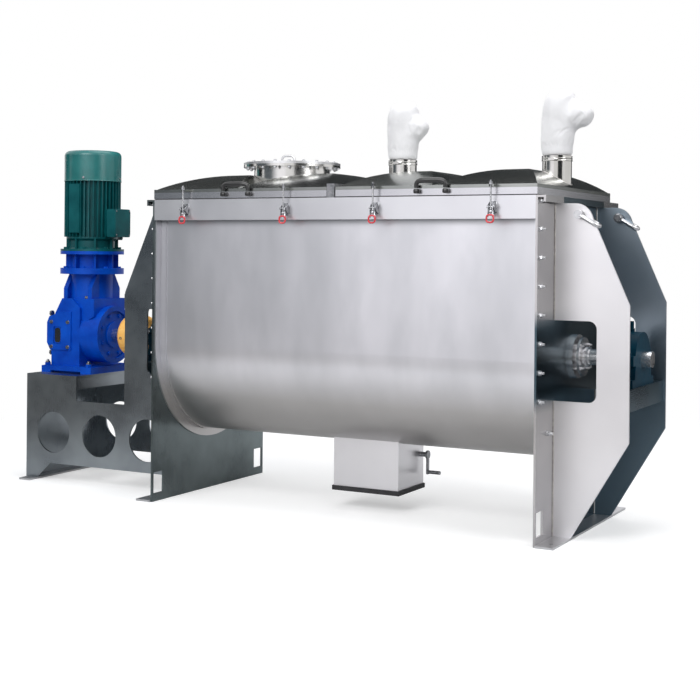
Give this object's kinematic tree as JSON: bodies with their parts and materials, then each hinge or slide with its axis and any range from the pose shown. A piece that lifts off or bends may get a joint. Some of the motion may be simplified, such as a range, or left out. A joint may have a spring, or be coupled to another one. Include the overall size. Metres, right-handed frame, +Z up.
{
  "type": "ribbon blender",
  "caption": "Horizontal ribbon blender: U trough with two hinged lids, counter-wound double ribbon agitator, bevel gearbox with upright motor, and a flap outlet.",
  "frame": {"origin": "on the floor, below the middle of the trough, in the vertical plane of the agitator shaft", "axes": "+X along the shaft, away from the drive; +Y to the rear, where the lids are hinged; +Z up"},
  "size_m": [4.193, 1.41, 2.48],
  "materials": {
    "stainless": "brushed stainless sheet",
    "polished": "polished stainless",
    "gearbox_blue": "gloss blue enamel",
    "motor_teal": "satin dark teal enamel",
    "bearing_teal": "satin dark blue-green enamel",
    "polyurethane": "orange cast polyurethane",
    "black_rubber": "black rubber",
    "black_plastic": "black grip plastic",
    "zinc": "bright zinc plated steel",
    "bag_cloth": "white filter cloth"
  },
  "bodies": {
    "frame": {"bearing_beams": "stainless", "bearing_housings": "bearing_teal", "centre_bar": "stainless", "clamp_bases": "zinc", "drive_side_plate_front": "stainless", "drive_side_plate_rear": "stainless", "end_plate_bolts": "zinc", "end_plate_left": "stainless", "end_plate_right": "stainless", "foot_plates": "stainless", "gearbox_housing": "gearbox_blue", "gearbox_seat": "stainless", "gland_followers": "stainless", "gusset_right_front": "stainless", "gusset_right_rear": "stainless", "hinge_brackets": "stainless", "lid_gaskets": "black_rubber", "motor_cowl": "motor_teal", "motor_housing": "motor_teal", "motor_lantern": "gearbox_blue", "outlet_box": "stainless", "outlet_collar": "black_rubber", "seal_housings": "stainless", "terminal_box": "motor_teal", "trough_flanges": "stainless", "trough_rims": "stainless", "trough_shell": "stainless"},
    "agitator": {"shaft_tube": "polished", "stub_shafts": "polished", "outer_ribbon_left": "polished", "outer_ribbon_right": "polished", "inner_ribbons": "polished", "ribbon_arms": "polished", "gearbox_output_shaft": "stainless", "coupling_hubs": "stainless", "coupling_tyre": "polyurethane"},
    "motor_rotor": {"motor_fan": "motor_teal"},
    "left_lid": {"lid_left": "stainless", "lid_grip_left": "black_plastic", "charging_port": "polished", "port_cover": "polished", "port_bolts": "zinc"},
    "right_lid": {"lid_right": "stainless", "lid_grip_right": "black_plastic", "dust_nozzles": "polished", "bag_clamps": "stainless", "dust_bag_1": "bag_cloth", "dust_bag_2": "bag_cloth"},
    "flap_valve": {"outlet_flap": "stainless", "flap_shaft": "stainless"},
    "front_shackle": {"shackle_front": "zinc"},
    "rear_shackle": {"shackle_rear": "zinc"},
    "lever_1": {"clamp_lever_1": "zinc"},
    "rod_1": {"clamp_rod_1": "zinc"},
    "lever_2": {"clamp_lever_2": "zinc"},
    "rod_2": {"clamp_rod_2": "zinc"},
    "lever_3": {"clamp_lever_3": "zinc"},
    "rod_3": {"clamp_rod_3": "zinc"},
    "lever_4": {"clamp_lever_4": "zinc"},
    "rod_4": {"clamp_rod_4": "zinc"}
  },
  "joints": [
    {"name": "agitator_spin", "type": "hinge", "parent": "frame", "child": "agitator", "pos_m": [0, 0, 0.97], "axis": [1, 0, 0], "continuous": true},
    {"name": "motor_spin", "type": "hinge", "parent": "frame", "child": "motor_rotor", "pos_m": [-2.2475, 0, 2.08], "axis": [0, 0, 1], "continuous": true},
    {"name": "left_lid_hinge", "type": "hinge", "parent": "frame", "child": "left_lid", "pos_m": [-0.63825, 0.692, 1.932], "axis": [-1, 0, 0], "range_deg": [0, 85]},
    {"name": "right_lid_hinge", "type": "hinge", "parent": "frame", "child": "right_lid", "pos_m": [0.63825, 0.692, 1.932], "axis": [-1, 0, 0], "range_deg": [0, 85]},
    {"name": "flap_turn", "type": "hinge", "parent": "frame", "child": "flap_valve", "pos_m": [0, 0.14, 0.312], "axis": [1, 0, 0], "range_deg": [0, 60]},
    {"name": "front_shackle_swing", "type": "hinge", "parent": "frame", "child": "front_shackle", "pos_m": [1.3925, -0.363, 1.765], "axis": [0, -1, 0], "range_deg": [0, 135]},
    {"name": "rear_shackle_swing", "type": "hinge", "parent": "frame", "child": "rear_shackle", "pos_m": [1.3925, 0.363, 1.765], "axis": [0, -1, 0], "range_deg": [0, 135]},
    {"name": "lever_1_turn", "type": "hinge", "parent": "frame", "child": "lever_1", "pos_m": [-1.001, -0.678, 1.8], "axis": [-1, 0, 0], "range_deg": [0, 90]},
    {"name": "rod_1_turn", "type": "hinge", "parent": "lever_1", "child": "rod_1", "pos_m": [-1.001, -0.678, 1.774], "axis": [1, 0, 0], "range_deg": [0, 90]},
    {"name": "lever_2_turn", "type": "hinge", "parent": "frame", "child": "lever_2", "pos_m": [-0.292, -0.678, 1.8], "axis": [-1, 0, 0], "range_deg": [0, 90]},
    {"name": "rod_2_turn", "type": "hinge", "parent": "lever_2", "child": "rod_2", "pos_m": [-0.292, -0.678, 1.774], "axis": [1, 0, 0], "range_deg": [0, 90]},
    {"name": "lever_3_turn", "type": "hinge", "parent": "frame", "child": "lever_3", "pos_m": [0.292, -0.678, 1.8], "axis": [-1, 0, 0], "range_deg": [0, 90]},
    {"name": "rod_3_turn", "type": "hinge", "parent": "lever_3", "child": "rod_3", "pos_m": [0.292, -0.678, 1.774], "axis": [1, 0, 0], "range_deg": [0, 90]},
    {"name": "lever_4_turn", "type": "hinge", "parent": "frame", "child": "lever_4", "pos_m": [1.001, -0.678, 1.8], "axis": [-1, 0, 0], "range_deg": [0, 90]},
    {"name": "rod_4_turn", "type": "hinge", "parent": "lever_4", "child": "rod_4", "pos_m": [1.001, -0.678, 1.774], "axis": [1, 0, 0], "range_deg": [0, 90]}
  ],
  "couplings": [
    {"joint": "motor_spin", "follows": "agitator_spin", "ratio": -35},
    {"joint": "rod_1_turn", "follows": "lever_1_turn", "ratio": 1},
    {"joint": "rod_2_turn", "follows": "lever_2_turn", "ratio": 1},
    {"joint": "rod_3_turn", "follows": "lever_3_turn", "ratio": 1},
    {"joint": "rod_4_turn", "follows": "lever_4_turn", "ratio": 1}
  ]
}
